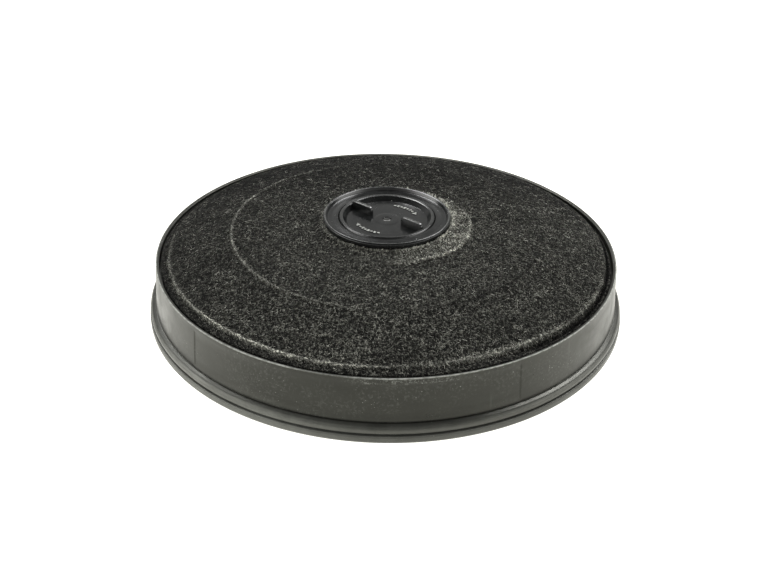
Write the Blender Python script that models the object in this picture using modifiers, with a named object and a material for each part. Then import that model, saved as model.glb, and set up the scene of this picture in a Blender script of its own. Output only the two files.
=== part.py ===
"""Round carbon filter of a recirculating cooker hood, lying on its motor side.

Metres, +Z up.  The origin is the centre of the flat base rim, on the surface that the
filter rests on.  Lengths below are in millimetres and are scaled once, by MM.
Azimuths are degrees about +Z from +X.
"""
import math

import bmesh
import bpy
from mathutils import Matrix

MM = 0.001
GAP = 0.3              # clearance between pieces that touch

# ---- outer casing -------------------------------------------------------------
RIM_R = 115.0          # outer radius of the upper lip
RIM_Z = 31.0           # height of the upper lip
WALL_FOOT_R = 116.5    # outer radius where the side wall meets the bead
WALL_FOOT_Z = 9.5
WALL_T = 1.7
BEAD_R = 119.5         # largest radius of the casing's bead
BEAD_Z = 7.6
SEAM_Z = 4.5           # lower edge of the casing, over the base cover's lip
LEDGE_Z = 27.0         # ledge that the border of the upper felt lies on
LEDGE_T = 2.3
RIDGE_R = 108.7        # outer support ring, seen through the felt as a line

# ---- base cover ---------------------------------------------------------------
FOOT_R = 120.0         # largest radius of the whole filter
FOOT_Z = 3.2
LIP_TOP_Z = SEAM_Z - GAP
FACE_R_OUT = 118.5     # flat annulus that the filter rests on
FACE_R_IN = 112.0
SPIGOT_R = 114.4
SPIGOT_Z = 9.0
GRILLE_RIBS = 16
GRILLE_RINGS = (44.0, 60.0, 76.0, 94.0)
SOCKET_R_IN = 22.6
SOCKET_R_OUT = 25.0
SOCKET_Z = 14.0

# ---- felts and granules ---------------------------------------------------------
FELT_T = 2.4
BORDER_R = 112.8       # edge of the upper felt
BORDER_Z = LEDGE_Z + GAP + FELT_T
MID_R = 77.5           # middle support ring, a second line in the felt
MID_Z = 41.5
SKIRT_R = 40.5         # foot of the cone that climbs to the hub
SKIRT_Z = 43.9
FELT_EYE_R = 29.0      # hole in the upper felt, under the hub's lip
FELT_EYE_Z = 45.9
BED_R_IN = 25.3
BED_Z = 7.3

# ---- hub --------------------------------------------------------------------------
HUB_Z = 49.6           # top of the collar's lip
HUB_R = 31.1
COLLAR_EYE_R = 24.3
SLEEVE_R_OUT = 22.2
SLEEVE_R_IN = 20.2
SLEEVE_HEAD_R = 28.5
SLEEVE_HEAD_Z = 42.2
KNOB_R = COLLAR_EYE_R - 0.35
KNOB_Z = 48.75
WELL_R = 20.1          # floor of the knob's well
WELL_Z = 46.95
BOSS_R = 5.6
BOSS_Z = 47.45
FIN_AZ = -40.0
FIN_IN = 8.4
FIN_OUT = 21.6
FIN_T = 1.9
FIN_OFF = 1.4          # each fin lies this far to one side of the knob's diameter
FIN_Z = 50.7
POST_R = 6.05
CLAW_R = 13.5
CLAW_Z = 6.8
CLAW_T = 2.4
LUG_R = 18.6
LUG_W = 12.0
LUG_AZ = 0.0

SPIDER_RIBS = 12
SPIDER_RINGS = (MID_R, 56.0)
OUTER_STEPS = 64
HUB_STEPS = 48
INNER_STEPS = 36


# ---- scene ------------------------------------------------------------------------
for old in list(bpy.data.objects):
    bpy.data.objects.remove(old, do_unlink=True)


def collection(name):
    c = bpy.data.collections.new(name)
    bpy.context.scene.collection.children.link(c)
    return c


parts = collection("cooker_hood_carbon_filter")
tools = collection("construction")


def material(name, rgb, roughness, metallic=0.0):
    m = bpy.data.materials.new(name)
    m.use_nodes = True
    p = m.node_tree.nodes["Principled BSDF"]
    p.inputs["Base Color"].default_value = (*rgb, 1.0)
    p.inputs["Roughness"].default_value = roughness
    p.inputs["Metallic"].default_value = metallic
    m.diffuse_color = (*rgb, 1.0)
    return m


def place(name, mesh, where, mat=None):
    ob = bpy.data.objects.new(name, mesh)
    where.objects.link(ob)
    if mat:
        mesh.materials.append(mat)
    if where is tools:
        ob.hide_render = True
        ob.display_type = "WIRE"
    return ob


def turned(name, points, steps, where, mat=None, closed=True):
    """A profile of (radius, height) at +X, outer side from top to bottom, turned about Z."""
    mesh = bpy.data.meshes.new(name)
    n = len(points)
    edges = [(i, i + 1) for i in range(n - 1)]
    if closed:
        edges.append((n - 1, 0))
    mesh.from_pydata([(r * MM, 0.0, z * MM) for r, z in points], edges, [])
    ob = place(name, mesh, where, mat)
    s = ob.modifiers.new("turn", "SCREW")
    s.axis = "Z"
    s.angle = 2 * math.pi
    s.steps = s.render_steps = steps
    s.use_merge_vertices = True
    s.merge_threshold = 0.00001
    s.use_smooth_shade = True
    return ob


def upright(name, outline, thickness, azimuth, where, aside=0.0):
    """A flat outline of (distance from the axis, height), thickened and turned to its azimuth."""
    mesh = bpy.data.meshes.new(name)
    bm = bmesh.new()
    bm.faces.new([bm.verts.new((r * MM, aside * MM, z * MM)) for r, z in outline])
    bm.to_mesh(mesh)
    bm.free()
    ob = place(name, mesh, where)
    s = ob.modifiers.new("thickness", "SOLIDIFY")
    s.thickness = thickness * MM
    s.offset = 0.0
    ob.rotation_euler.z = math.radians(azimuth)
    return ob


def block(name, r_in, r_out, width, z_low, z_high, azimuth, where):
    """A bar along a radius."""
    mesh = bpy.data.meshes.new(name)
    bm = bmesh.new()
    size = Matrix.Diagonal(((r_out - r_in) * MM, width * MM, (z_high - z_low) * MM, 1.0))
    mid = Matrix.Translation(((r_in + r_out) / 2 * MM, 0.0, (z_low + z_high) / 2 * MM))
    bmesh.ops.create_cube(bm, size=1.0, matrix=mid @ size)
    bm.to_mesh(mesh)
    bm.free()
    ob = place(name, mesh, where)
    ob.rotation_euler.z = math.radians(azimuth)
    return ob


def join(target, extras):
    """Adds each extra solid to the target, which keeps its own name and material."""
    for extra in extras:
        b = target.modifiers.new("join_" + extra.name, "BOOLEAN")
        b.operation = "UNION"
        b.solver = "EXACT"
        b.object = extra


def arc(cx, cz, r, a0, a1, n):
    return [(cx + r * math.cos(math.radians(a0 + (a1 - a0) * i / n)),
             cz + r * math.sin(math.radians(a0 + (a1 - a0) * i / n))) for i in range(n + 1)]


def straight(a, b, x):
    return a[1] + (b[1] - a[1]) * (x - a[0]) / (b[0] - a[0])


def felt_top(r):
    """Height of the upper felt: a cone over the granules, a low crown, then the hub's skirt."""
    knots = [(FELT_EYE_R, FELT_EYE_Z), (33.4, FELT_EYE_Z - 0.15), (SKIRT_R, SKIRT_Z),
             (MID_R, MID_Z), (RIDGE_R, 32.2), (110.6, BORDER_Z + 0.15), (BORDER_R, BORDER_Z)]
    for a, b in zip(knots, knots[1:]):
        if r <= b[0]:
            return straight(a, b, r)
    return knots[-1][1]


def support(r):
    """Upper side of the spider under the felt; level inside the skirt's foot."""
    return felt_top(max(r, SKIRT_R + 1.5)) - FELT_T - GAP


black_plastic = (0.030, 0.030, 0.028)
casing_mat = material("black_plastic_casing", black_plastic, 0.38)
base_mat = material("black_plastic_base", black_plastic, 0.40)
hub_mat = material("black_plastic_hub", (0.024, 0.024, 0.023), 0.34)
felt_mat = material("black_felt", (0.016, 0.016, 0.015), 0.95)
carbon_mat = material("carbon_granules", (0.010, 0.010, 0.010), 0.70)
steel_mat = material("zinc_plated_steel", (0.55, 0.55, 0.53), 0.35, 1.0)

# ---- casing: side wall, lip, bead, felt ledge and spider, one moulding ----------------
inner_top = RIM_R - WALL_T
inner_foot = WALL_FOOT_R - WALL_T
wall_in = lambda z: straight((RIM_Z, inner_top), (WALL_FOOT_Z, inner_foot), z)
casing_profile = (
    [(RIM_R - 1.65, RIM_Z - 0.4), (RIM_R - 0.35, RIM_Z), (RIM_R + 0.03, RIM_Z - 0.3)]
    + [(WALL_FOOT_R, WALL_FOOT_Z), (WALL_FOOT_R - 0.2, WALL_FOOT_Z - 0.35)]
    + [(BEAD_R - 2.0, BEAD_Z + 1.5), (BEAD_R - 0.8, BEAD_Z + 1.1), (BEAD_R, BEAD_Z), (BEAD_R - 0.05, BEAD_Z - 1.9),
       (BEAD_R - 0.4, BEAD_Z - 2.6), (BEAD_R - 0.9, BEAD_Z - 2.85), (BEAD_R - 0.9, SEAM_Z)]
    + [(inner_foot, SEAM_Z), (inner_foot, WALL_FOOT_Z - 1.0)]
    + [(wall_in(LEDGE_Z - LEDGE_T), LEDGE_Z - LEDGE_T), (RIDGE_R - 1.1, LEDGE_Z - LEDGE_T)]
    + [(RIDGE_R - 1.1, support(RIDGE_R) - 0.5), (RIDGE_R - 0.2, support(RIDGE_R) - 0.05),
       (RIDGE_R + 0.3, support(RIDGE_R) - 0.6), (RIDGE_R + 1.0, LEDGE_Z)]
    + [(wall_in(LEDGE_Z), LEDGE_Z)])
casing = turned("casing", casing_profile, OUTER_STEPS, parts, casing_mat)

spider = []
for k, r in enumerate(SPIDER_RINGS):
    spider.append(turned("spider_ring_%d" % k, [
        (r - 1.0, support(r) - 0.1), (r + 0.9, support(r) - 0.35),
        (r + 0.9, support(r) - 2.2), (r - 1.0, support(r) - 2.2)], INNER_STEPS, tools))
spider.append(turned("spider_eye", [
    (31.6, support(30) - 0.1), (31.6, support(30) - 2.5), (28.9, support(30) - 2.5),
    (28.9, support(30) - 0.1)], INNER_STEPS, tools))
reach = [30.2, SKIRT_R + 1.5, MID_R, RIDGE_R - 0.6]
rib_outline = ([(r, support(r) - 0.25) for r in reach]
               + [(r, support(r) - 2.4) for r in reversed(reach)])
for k in range(SPIDER_RIBS):
    spider.append(upright("spider_rib_%02d" % k, rib_outline, 1.8,
                          360.0 * (k + 0.5) / SPIDER_RIBS, tools))
join(casing, spider)

# ---- base cover: foot lip, spigot, flat grille and central socket, one moulding ---------
base_profile = [
    (SPIGOT_R - 0.6, SPIGOT_Z), (SPIGOT_R, SPIGOT_Z - 0.8), (SPIGOT_R, LIP_TOP_Z),
    (FOOT_R - 1.6, LIP_TOP_Z), (FOOT_R - 0.4, LIP_TOP_Z - 0.15), (FOOT_R, FOOT_Z),
    (FOOT_R, FOOT_Z - 1.7), (FOOT_R - 0.5, 0.6), (FACE_R_OUT, 0.0), (FACE_R_IN, 0.0), (FACE_R_IN, 4.4),
    (SPIGOT_R - 2.0, 4.4), (SPIGOT_R - 2.0, SPIGOT_Z)]
base = turned("base_grille", base_profile, OUTER_STEPS, parts, base_mat)
lattice = []
for k, r in enumerate(GRILLE_RINGS):
    lattice.append(turned("grille_ring_%d" % k, [
        (r + 1.0, 3.6), (r + 1.0, 1.1), (r - 1.0, 1.1), (r - 1.0, 3.6)], INNER_STEPS, tools))
lattice.append(turned("socket", [
    (SOCKET_R_OUT, SOCKET_Z), (SOCKET_R_OUT, 0.6), (SOCKET_R_IN, 0.6),
    (SOCKET_R_IN, SOCKET_Z)], INNER_STEPS, tools))
for k in range(GRILLE_RIBS):
    lattice.append(block("grille_rib_%02d" % k, SOCKET_R_OUT - 1.0, FACE_R_IN + 0.8, 2.0, 0.8, 3.9,
                         360.0 * k / GRILLE_RIBS, tools))
join(base, lattice)

# ---- felts and carbon granules --------------------------------------------------------
felt_radii = [FELT_EYE_R, 33.4, SKIRT_R, MID_R, RIDGE_R, 110.6, BORDER_R]
top_felt = turned(
    "top_felt",
    [(r, felt_top(r)) for r in felt_radii]
    + [(r + (0.35 if SKIRT_R > r > FELT_EYE_R else 0.0), felt_top(r) - FELT_T)
       for r in reversed(felt_radii)],
    HUB_STEPS, parts, felt_mat)

base_felt = turned("base_felt", [
    (111.9, 6.9), (111.9, 4.75), (SOCKET_R_OUT + 0.4, 4.75), (SOCKET_R_OUT + 0.4, 6.9)],
    INNER_STEPS, parts, felt_mat)

bed_top = [31.9, SKIRT_R + 1.5, MID_R, RIDGE_R - 1.5]
carbon_bed = turned("carbon_bed", (
    [(BED_R_IN, support(30) - 2.9)] + [(r, support(r) - 2.9) for r in bed_top]
    + [(RIDGE_R - 1.5, LEDGE_Z - LEDGE_T - 0.4), (112.1, LEDGE_Z - LEDGE_T - 0.4),
       (112.1, SPIGOT_Z - 1.3), (111.8, BED_Z), (BED_R_IN, BED_Z)]),
    INNER_STEPS, parts, carbon_mat)

# ---- hub: sleeve, clamping collar ----------------------------------------------------
sleeve = turned("hub_sleeve", [
    (SLEEVE_HEAD_R, SLEEVE_HEAD_Z), (SLEEVE_HEAD_R, SLEEVE_HEAD_Z - 2.0),
    (SLEEVE_R_OUT, SLEEVE_HEAD_Z - 3.6), (SLEEVE_R_OUT, 8.0), (SLEEVE_R_IN, 8.0),
    (SLEEVE_R_IN, SLEEVE_HEAD_Z - 2.4), (9.6, SLEEVE_HEAD_Z - 2.4), (9.6, SLEEVE_HEAD_Z)],
    HUB_STEPS, parts, base_mat)

collar = turned("hub_collar", [
    (HUB_R, HUB_Z), (HUB_R + 0.8, HUB_Z - 0.7), (HUB_R + 0.6, FELT_EYE_Z + 0.8), (HUB_R - 0.1, FELT_EYE_Z + 0.35),
    (FELT_EYE_R - 0.4, FELT_EYE_Z + 0.35),
    (FELT_EYE_R - 0.4, SLEEVE_HEAD_Z + GAP), (COLLAR_EYE_R, SLEEVE_HEAD_Z + GAP),
    (COLLAR_EYE_R, HUB_Z - 1.4), (27.2, HUB_Z - 1.65), (29.5, HUB_Z - 2.0),
    (HUB_R - 0.9, HUB_Z - 0.35)],
    HUB_STEPS, parts, hub_mat)

# ---- what turns: knob, screw and bayonet claw on the knob's axis ------------------------
axis = bpy.data.objects.new("knob_axis", None)
parts.objects.link(axis)
axis.empty_display_size = 0.02

knob = turned("lock_knob", [
    (KNOB_R - 0.9, KNOB_Z), (KNOB_R - 0.35, KNOB_Z - 0.2), (KNOB_R, KNOB_Z - 0.8),
    (KNOB_R, SLEEVE_HEAD_Z + 1.0), (KNOB_R - 1.5, SLEEVE_HEAD_Z + 1.0), (KNOB_R - 1.9, WELL_Z - 1.5),
    (9.1, WELL_Z - 1.3), (9.1, SLEEVE_HEAD_Z - 2.2), (POST_R + 0.35, SLEEVE_HEAD_Z - 2.2),
    (POST_R + 0.35, 44.7), (1.35, 44.7), (1.35, 46.0), (2.2, 46.0), (2.2, BOSS_Z),
    (BOSS_R, BOSS_Z), (BOSS_R + 0.3, WELL_Z + 0.15), (WELL_R, WELL_Z),
    (22.0, KNOB_Z - 0.2), (22.6, KNOB_Z)], HUB_STEPS, parts, hub_mat)
fin = ([(FIN_IN, WELL_Z - 0.8)] + arc(FIN_IN + 2.2, FIN_Z - 2.2, 2.2, 180, 90, 4)
       + arc(FIN_OUT - 2.3, FIN_Z - 2.3, 2.3, 90, 0, 4) + [(FIN_OUT, WELL_Z - 0.8)])
join(knob, [upright("fin_%d" % k, fin, FIN_T, FIN_AZ + 180 * k, tools, FIN_OFF) for k in (0, 1)])

screw = turned("knob_screw", [
    (0.0, 47.05), (1.5, 47.05), (1.9, 46.75), (1.9, 46.3), (1.05, 46.3), (1.05, 32.0), (0.0, 31.2)],
    24, parts, steel_mat, closed=False)

claw = turned("lock_claw", [
    (0.0, 30.0), (1.4, 30.0), (1.4, 44.4), (POST_R, 44.4), (POST_R, CLAW_Z + CLAW_T),
    (CLAW_R, CLAW_Z + CLAW_T), (CLAW_R, CLAW_Z), (0.0, CLAW_Z)], HUB_STEPS, parts, hub_mat,
    closed=False)
join(claw, [block("lug_%d" % k, CLAW_R - 2.5, LUG_R, LUG_W, CLAW_Z - 0.3, CLAW_Z + CLAW_T + 0.4,
                  LUG_AZ + 180 * k, tools) for k in (0, 1)])

for ob in (knob, screw, claw):
    ob.parent = axis
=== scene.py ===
import math

import bmesh
import bpy
import numpy as np
from mathutils import Matrix, Vector


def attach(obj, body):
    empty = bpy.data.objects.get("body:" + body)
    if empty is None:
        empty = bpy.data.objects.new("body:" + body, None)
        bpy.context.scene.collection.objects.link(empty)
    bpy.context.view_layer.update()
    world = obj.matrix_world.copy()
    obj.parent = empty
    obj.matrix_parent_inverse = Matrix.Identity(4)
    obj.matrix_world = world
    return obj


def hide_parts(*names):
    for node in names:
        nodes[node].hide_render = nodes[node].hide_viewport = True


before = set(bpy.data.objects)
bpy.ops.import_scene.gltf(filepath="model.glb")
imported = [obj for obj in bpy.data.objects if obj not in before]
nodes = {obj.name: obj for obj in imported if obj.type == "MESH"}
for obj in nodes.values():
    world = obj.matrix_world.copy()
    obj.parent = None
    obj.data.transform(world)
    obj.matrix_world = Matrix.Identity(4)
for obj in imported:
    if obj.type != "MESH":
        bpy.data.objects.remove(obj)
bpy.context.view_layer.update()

MM = 0.001
scene = bpy.context.scene

# ------------------------------------------------------------------------------------
# camera at the photograph's place: weak perspective from about 0.56 m, 29 degrees up
# ------------------------------------------------------------------------------------
RIM_Z = 31.0
FOCAL_PX, DIST, ELEV, TILT, ROLL = 1100.0, 557.5, 28.74, 2.22, 0.957
el = math.radians(ELEV + TILT)
yaw = -0.8 / FOCAL_PX
fwd = Vector((math.sin(yaw) * math.cos(el), math.cos(yaw) * math.cos(el), -math.sin(el)))
right = Vector((math.cos(yaw), -math.sin(yaw), 0.0))
up = right.cross(fwd)
ro = math.radians(ROLL)
right, up = right * math.cos(ro) + up * math.sin(ro), up * math.cos(ro) - right * math.sin(ro)
rot = Matrix((right, up, -fwd)).transposed().to_4x4()
e = math.radians(ELEV)
place = Matrix.Translation((0.0, -DIST * math.cos(e) * MM, (RIM_Z + DIST * math.sin(e)) * MM))
cam_data = bpy.data.cameras.new("camera")
cam_data.sensor_width = 36.0
cam_data.lens = FOCAL_PX / 770.0 * 36.0
cam_data.clip_start, cam_data.clip_end = 0.01, 50.0
cam = bpy.data.objects.new("camera", cam_data)
scene.collection.objects.link(cam)
cam.matrix_world = place @ rot
scene.camera = cam


# ------------------------------------------------------------------------------------
# mesh helpers
# ------------------------------------------------------------------------------------
def finish_mesh(name, verts, faces, angle=40.0, smooth=True):
    me = bpy.data.meshes.new(name)
    me.from_pydata([tuple(v) for v in verts], [], [tuple(f) for f in faces])
    me.validate()
    if smooth:
        me.shade_smooth()
        me.set_sharp_from_angle(angle=math.radians(angle))
    ob = bpy.data.objects.new(name, me)
    scene.collection.objects.link(ob)
    return ob


def fillet(points, n=5):
    """A closed outline of (r, z) or (r, z, radius) with each corner of a stated radius rounded."""
    out = []
    m = len(points)
    for i, p in enumerate(points):
        rad = p[2] if len(p) > 2 else 0.0
        here = np.array(p[:2], float)
        if rad <= 0:
            out.append(tuple(here))
            continue
        a = np.array(points[i - 1][:2], float) - here
        b = np.array(points[(i + 1) % m][:2], float) - here
        la, lb = np.linalg.norm(a), np.linalg.norm(b)
        a, b = a / la, b / lb
        half = math.acos(max(-1.0, min(1.0, float(a @ b)))) / 2
        t = min(rad / math.tan(half), 0.48 * la, 0.48 * lb)
        rad = t * math.tan(half)
        mid = (a + b) / np.linalg.norm(a + b)
        c = here + mid * rad / math.sin(half)
        p0, p1 = here + a * t, here + b * t
        a0, a1 = math.atan2(*(p0 - c)[::-1]), math.atan2(*(p1 - c)[::-1])
        d = (a1 - a0 + math.pi) % (2 * math.pi) - math.pi
        for k in range(n + 1):
            w = a0 + d * k / n
            out.append((c[0] + rad * math.cos(w), c[1] + rad * math.sin(w)))
    return out


def densify(points, closed, longest):
    """Adds points so that no side is longer than the given length."""
    out = []
    m = len(points)
    for i in range(m if closed else m - 1):
        a, b = np.array(points[i]), np.array(points[(i + 1) % m])
        k = max(1, int(math.ceil(np.linalg.norm(b - a) / longest)))
        out += [tuple(a + (b - a) * j / k) for j in range(k)]
    if not closed:
        out.append(points[-1])
    return out


def lathe(name, profile, steps, moved=None, angle=40.0, closed=True, extra=()):
    """A profile of (r, z) in mm, outer side from top to bottom, turned about Z. An open profile
    starts and ends on the axis. moved(r, z, azimuth) may shift the points."""
    prof = np.array(profile, float)
    az = np.sort(np.concatenate([np.arange(steps) * 2 * math.pi / steps, np.array(extra, float)]))
    steps = len(az)
    on_axis = (prof[:, 0] < 1e-6) if not closed else np.zeros(len(prof), bool)
    verts, rows = [], []
    for (r, z), single in zip(prof, on_axis):
        if single:
            rows.append([len(verts)] * steps)
            verts.append((0.0, 0.0, z * MM))
            continue
        rr, zz = np.full(steps, r), np.full(steps, z)
        if moved:
            rr, zz = moved(rr, zz, az)
        rows.append(list(range(len(verts), len(verts) + steps)))
        verts += list(zip(rr * np.cos(az) * MM, rr * np.sin(az) * MM, zz * MM))
    faces = []
    pairs = list(zip(rows, rows[1:] + rows[:1])) if closed else list(zip(rows, rows[1:]))
    for a, b in pairs:
        for j in range(steps):
            k = (j + 1) % steps
            f = [a[j], b[j], b[k], a[k]]
            f = [v for i, v in enumerate(f) if v != f[i - 1]]
            if len(set(f)) > 2:
                faces.append(f)
    return finish_mesh(name, verts, faces, angle)


def bar(name, outline, thickness, azimuth, bevel=0.35, aside=0.0):
    """A flat outline of (distance from the axis, height), thickened, with rounded edges."""
    bm = bmesh.new()
    vs = [bm.verts.new((r * MM, -thickness / 2 * MM, z * MM)) for r, z in outline]
    bm.faces.new(vs)
    ext = bmesh.ops.extrude_face_region(bm, geom=bm.faces[:])
    bmesh.ops.translate(bm, verts=[v for v in ext["geom"] if isinstance(v, bmesh.types.BMVert)],
                        vec=(0, thickness * MM, 0))
    bmesh.ops.recalc_face_normals(bm, faces=bm.faces[:])
    if bevel:
        flat = [ed for ed in bm.edges if len(ed.link_faces) == 2
                and ed.calc_face_angle() > math.radians(60)]
        bmesh.ops.bevel(bm, geom=flat, offset=bevel * MM, segments=3, affect="EDGES",
                        profile=0.5, clamp_overlap=True)
    bmesh.ops.translate(bm, verts=bm.verts[:], vec=(0, aside * MM, 0))
    bmesh.ops.rotate(bm, verts=bm.verts[:], matrix=Matrix.Rotation(math.radians(azimuth), 3, "Z"))
    me = bpy.data.meshes.new(name)
    bm.to_mesh(me)
    bm.free()
    ob = bpy.data.objects.new(name, me)
    scene.collection.objects.link(ob)
    return ob


def rectangle(r0, r1, z0, z1):
    return [(r0, z0), (r1, z0), (r1, z1), (r0, z1)]


def union(ob, extras, angle=38.0):
    """One closed body from the object and the extras, which go."""
    group = bpy.data.collections.new(ob.name + "_extras")
    for x in extras:
        for c in list(x.users_collection):
            c.objects.unlink(x)
        group.objects.link(x)
    scene.collection.children.link(group)
    m = ob.modifiers.new("union", "BOOLEAN")
    m.operation, m.solver = "UNION", "EXACT"
    m.operand_type, m.collection = "COLLECTION", group
    bpy.context.view_layer.update()
    dg = bpy.context.evaluated_depsgraph_get()
    me = bpy.data.meshes.new_from_object(ob.evaluated_get(dg))
    ob.modifiers.clear()
    ob.data = me
    for x in extras:
        bpy.data.objects.remove(x, do_unlink=True)
    bpy.data.collections.remove(group)
    me.shade_smooth()
    me.set_sharp_from_angle(angle=math.radians(angle))
    return ob


def lattice_noise(seed):
    """Smooth 2-D noise from -1 to 1 on a unit lattice, the same each run."""
    g = np.random.default_rng(seed).uniform(0, 2 * math.pi, (256, 256))
    gx, gy = np.cos(g), np.sin(g)

    def f(x, y):
        xi, yi = np.floor(x).astype(int), np.floor(y).astype(int)
        u, v = x - xi, y - yi
        su, sv = u * u * u * (u * (u * 6 - 15) + 10), v * v * v * (v * (v * 6 - 15) + 10)

        def corner(i, j):
            a, b = (xi + i) % 256, (yi + j) % 256
            return gx[a, b] * (u - i) + gy[a, b] * (v - j)
        top = corner(0, 0) * (1 - su) + corner(1, 0) * su
        bot = corner(0, 1) * (1 - su) + corner(1, 1) * su
        return (top * (1 - sv) + bot * sv) * 1.5
    return f


def smoothstep(a, b, x):
    t = np.clip((x - a) / (b - a), 0, 1)
    return t * t * (3 - 2 * t)


# ------------------------------------------------------------------------------------
# materials
# ------------------------------------------------------------------------------------
class Mat:
    """A Principled material built up node by node."""

    def __init__(self, name):
        self.m = bpy.data.materials.new(name)
        self.m.use_nodes = True
        self.t = self.m.node_tree
        self.p = self.t.nodes["Principled BSDF"]
        self.co = self.new("ShaderNodeTexCoord").outputs["Object"]

    def new(self, kind, **props):
        n = self.t.nodes.new(kind)
        for k, v in props.items():
            setattr(n, k, v)
        return n

    def link(self, a, b):
        self.t.links.new(a, b)
        return b

    def feed(self, socket, value):
        if hasattr(value, "is_linked"):
            self.link(value, socket)
        else:
            socket.default_value = value

    def math(self, op, a, b=0.0, c=None, clamp=False):
        n = self.new("ShaderNodeMath", operation=op, use_clamp=clamp)
        self.feed(n.inputs[0], a)
        self.feed(n.inputs[1], b)
        if c is not None:
            self.feed(n.inputs[2], c)
        return n.outputs[0]

    def ramp(self, x, lo, hi, to_lo=0.0, to_hi=1.0, smooth=True):
        n = self.new("ShaderNodeMapRange", interpolation_type="SMOOTHSTEP" if smooth else "LINEAR")
        self.feed(n.inputs[0], x)
        for i, v in zip((1, 2, 3, 4), (lo, hi, to_lo, to_hi)):
            n.inputs[i].default_value = v
        return n.outputs[0]

    def noise(self, scale, detail=2.0, rough=0.5, distortion=0.0, vector=None, color=False):
        n = self.new("ShaderNodeTexNoise")
        self.link(vector or self.co, n.inputs["Vector"])
        n.inputs["Scale"].default_value = scale
        n.inputs["Detail"].default_value = detail
        n.inputs["Roughness"].default_value = rough
        n.inputs["Distortion"].default_value = distortion
        return n.outputs["Color" if color else "Fac"]

    def voronoi(self, scale, feature="F1", vector=None, out="Distance", randomness=1.0):
        n = self.new("ShaderNodeTexVoronoi", feature=feature)
        self.link(vector or self.co, n.inputs["Vector"])
        n.inputs["Scale"].default_value = scale
        n.inputs["Randomness"].default_value = randomness
        return n.outputs[out]

    def mapped(self, scale=(1, 1, 1), turn=(0, 0, 0), move=(0, 0, 0), vector=None):
        n = self.new("ShaderNodeMapping")
        self.link(vector or self.co, n.inputs["Vector"])
        n.inputs["Scale"].default_value = scale
        n.inputs["Rotation"].default_value = turn
        n.inputs["Location"].default_value = move
        return n.outputs[0]

    def mix(self, fac, a, b, blend="MIX"):
        n = self.new("ShaderNodeMix", data_type="RGBA", blend_type=blend)
        self.feed(n.inputs[0], fac)
        for s, v in ((n.inputs[6], a), (n.inputs[7], b)):
            self.feed(s, v if hasattr(v, "is_linked") else (*v, 1.0))
        return n.outputs[2]

    def xyz(self):
        n = self.new("ShaderNodeSeparateXYZ")
        self.link(self.co, n.inputs[0])
        return n.outputs

    def bump(self, height, distance, strength=1.0, normal=None):
        n = self.new("ShaderNodeBump")
        self.link(height, n.inputs["Height"])
        n.inputs["Distance"].default_value = distance
        n.inputs["Strength"].default_value = strength
        if normal:
            self.link(normal, n.inputs["Normal"])
        return n.outputs[0]

    def wire(self, **sockets):
        for k, v in sockets.items():
            s = self.p.inputs[k.replace("_", " ")]
            if isinstance(v, tuple) and len(v) == 3:
                v = (*v, 1.0)
            self.feed(s, v)
        return self.m


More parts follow.
